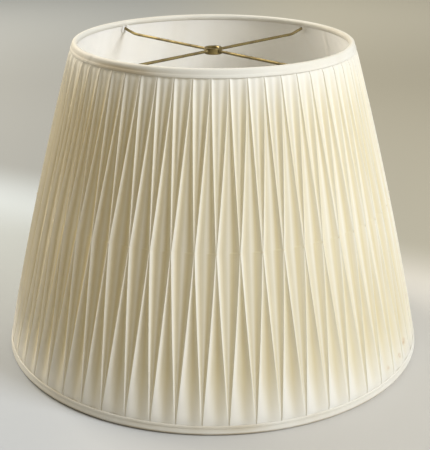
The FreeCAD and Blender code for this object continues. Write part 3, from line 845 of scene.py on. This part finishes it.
bottomTape = makeTape("bottomRingTape", bottomRing, 0.0)
topTape = makeTape("topRingTape", topRing, slant)
place(bottomTape, "cotton_tape", "bottom_ring_tape")
place(topTape, "cotton_tape", "top_ring_tape")
print("stage: tapes")


# Wire frame and the brass arms and hub.

wireEnamel = wirePaint({
    "enamel": colour(0.80, 0.79, 0.75), "rust": colour(0.30, 0.15, 0.07),
    "chipScale": 180.0, "chipSpread": (0.60, 0.68), "chipDepth": 0.0001, "chipRough": 0.35, "chipMetal": 0.25,
    "rough": 0.38,
})
brass = brassPaint({
    "bright": colour(0.27, 0.215, 0.095), "patina": colour(0.115, 0.085, 0.038),
    "spots": colour(0.07, 0.05, 0.028),
    "cloudScale": 55.0, "cloudSpread": (0.40, 0.66), "cloudDark": 0.75, "cloudRough": 0.12,
    "speckScale": 420.0, "speckSpread": (0.56, 0.74), "speckDark": 0.55,
    "spotSpread": (0.64, 0.76), "spotDark": 0.5, "darkRough": 0.26, "darkDull": 0.45, "rough": 0.34,
    "drawnScale": (900.0, 900.0, 120.0), "pitDepth": 0.0001, "drawnDepth": 0.00005,
})


def dress(names, material):
    for name in names:
        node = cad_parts[name]
        node.data.materials.clear()
        node.data.materials.append(material)


dress(["bottom_ring", "top_ring"] + [f"strut_{i}" for i in range(1, 9)], wireEnamel)
dress(["spider_hub"] + [f"spider_arm_{i}" for i in range(1, 5)], brass)

collar = {
    "start": 9.2 * mm, "sides": 28, "oval": 0.09, "lumpy": 0.05,
    # distance out along the arm and radius, in mm
    "profile": [(-0.6, 1.5), (0.0, 2.25), (0.7, 2.45), (1.5, 2.15), (2.4, 1.72), (3.2, 1.52)],
}


def makeCollar(index, azimuth):
    low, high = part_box("spider_hub")
    height = (low.z + high.z) / 2
    turn = math.radians(azimuth)
    ahead = np.array([math.sin(turn), -math.cos(turn), 0.0])
    side = np.array([math.cos(turn), math.sin(turn), 0.0])
    upward = np.array([0, 0, 1.0])
    around = np.linspace(0, fullTurn, collar["sides"], endpoint=False)
    ring = np.cos(around)[:, None] * side + np.sin(around)[:, None] * upward
    rows = []
    for along, radius in collar["profile"]:
        oval = collar["oval"] * np.sin(around * 2 + rng.uniform(0, 6))
        lump = 1 + oval + collar["lumpy"] * np.sin(around * 5 + rng.uniform(0, 6))
        middle = ahead * (collar["start"] + along * mm) + upward * height
        rows.append(middle + ring * (radius * mm * lump)[:, None])
    piece = grid(f"brazedCollar{index}", np.array(rows), brass, wrapAcross=True)
    turnOutwards(piece)
    return soften(piece)


for index, azimuth in enumerate(armAzimuths, 1):
    place(makeCollar(index, azimuth), "aged_brass")
print("stage: frame and fitter")


# Studio.

studio = {
    # paper colours, painted unevenly to stand in for the studio's light and shade; glow is a painted pool of
    # light on the floor
    "leftFloor": colour(0.41, 0.435, 0.475), "floor": colour(0.57, 0.555, 0.53),
    "glow": colour(0.53, 0.585, 0.64),
    "leftWall": colour(0.265, 0.275, 0.28), "rightWall": colour(0.345, 0.33, 0.275),
    "leftTop": colour(0.42, 0.45, 0.48), "rightTop": colour(0.62, 0.61, 0.54),
    "haze": colour(0.5, 0.5, 0.47), "hazeScale": 1.4, "hazeShare": 0.10,
    "wallAcross": (-0.3, 0.4), "floorAcross": (-0.2, 0.1),
    "glowAcross": (-0.2, 0.0), "glowBack": (-0.15, 0.35),
    "wallUp": (1.1, 2.4), "slope": 0.55, "wallFrom": (0.21, 0.42),
    "fibreScale": 240.0, "fibreDepth": 0.0002, "fibreRough": 0.1, "rough": 0.75,
    "front": -2.6, "back": 3.0, "bend": 1.3, "height": 4.5, "halfWidth": 5.0, "steps": 24, "below": 0.0002,
}


def backdropPaint():
    paint = Paint("studioPaper")
    spot = paint.place()
    x, y, _ = paint.parts(spot)
    haze = paint.noise(spot, studio["hazeScale"], 3.0)
    fibres = paint.noise(spot, studio["fibreScale"], 4.0)
    # painted light and shade on the paper: a darker left floor, a painted pool of light at the back left, and
    # walls darker low down and lighter at the top
    rightward = x.between(*studio["wallAcross"])
    floor = paint.blend(x.between(*studio["floorAcross"]), studio["leftFloor"], studio["floor"])
    glow = (1 - x.between(*studio["glowAcross"])) * y.between(*studio["glowBack"])
    floor = paint.blend(glow, floor, studio["glow"])
    wall = paint.blend(rightward, studio["leftWall"], studio["rightWall"])
    top = paint.blend(rightward, studio["leftTop"], studio["rightTop"])
    wall = paint.blend(y.between(*studio["wallUp"]), wall, top)
    base = paint.blend((y + x * studio["slope"]).between(*studio["wallFrom"]), floor, wall)
    base = paint.blend(haze * studio["hazeShare"], base, studio["haze"])
    relief = paint.bump(fibres, studio["fibreDepth"], 0.4)
    rough = fibres * studio["fibreRough"] + studio["rough"]
    return paint.finish({"Base Color": base, "Roughness": rough, "Normal": relief})


def makeSweep():
    profile = [(studio["front"], 0.0)]
    for angle in np.linspace(0, np.pi / 2, studio["steps"]):
        reach, rise = math.sin(angle), 1 - math.cos(angle)
        profile.append((studio["back"] + studio["bend"] * reach, studio["bend"] * rise))
    profile.append((studio["back"] + studio["bend"], studio["height"]))
    width = np.linspace(-studio["halfWidth"], studio["halfWidth"], studio["steps"])
    points = np.array([[(x, y, z) for x in width] for y, z in profile])
    sweep = grid("studioSweep", points, backdropPaint())
    sweep.location.z = -studio["below"]


lights = {
    "aim": (0.0, 0.0, 0.16),
    # azimuth, elevation, distance, size, watts, tint
    "windowLight": (60, 36, 2.6, (1.0, 1.0), 65, (0.93, 0.965, 1.0)),
    "leftBackLight": (-130, 34, 2.4, (1.3, 1.6), 64, (1.0, 0.92, 0.78)),
    "roomTint": (1.0, 0.90, 0.69, 1.0), "roomStrength": 0.37,
}


def makeLight(name):
    azimuth, elevation, distance, size, watts, tint = lights[name]
    turn, rise = math.radians(azimuth), math.radians(elevation)
    toward = Vector((math.sin(turn) * math.cos(rise), -math.cos(turn) * math.cos(rise), math.sin(rise)))
    data = bpy.data.lights.new(name, "AREA")
    data.shape = "RECTANGLE"
    data.size, data.size_y = size
    data.energy = watts
    data.color = tint
    lamp = bpy.data.objects.new(name, data)
    lamp.location = Vector(lights["aim"]) + toward * distance
    lamp.rotation_mode = "QUATERNION"
    lamp.rotation_quaternion = (-toward).to_track_quat("-Z", "Y")
    bpy.context.scene.collection.objects.link(lamp)


def makeRoom():
    room = bpy.data.worlds.new("room")
    bpy.context.scene.world = room
    room.use_nodes = True
    background = room.node_tree.nodes["Background"].inputs
    background["Color"].default_value = lights["roomTint"]
    background["Strength"].default_value = lights["roomStrength"]


makeSweep()
makeLight("windowLight")
makeLight("leftBackLight")
makeRoom()

view = {
    "place": (0.0, -1.0361, 0.5321), "pitch": 0.3751, "yaw": -0.002, "roll": 0.0015,
    "lens": 80.35, "sensor": 36.0,
}
lens = bpy.data.cameras.new("camera")
lens.lens = view["lens"]
lens.sensor_width = view["sensor"]
camera = bpy.data.objects.new("camera", lens)
bpy.context.scene.collection.objects.link(camera)
camera.matrix_world = Matrix.Translation(view["place"]) @ Matrix.Rotation(view["yaw"], 4, "Z") @ \
    Matrix.Rotation(math.pi / 2 - view["pitch"], 4, "X") @ Matrix.Rotation(view["roll"], 4, "Z")
bpy.context.scene.camera = camera
bpy.context.scene.view_settings.view_transform = "Standard"

print("stage: done")
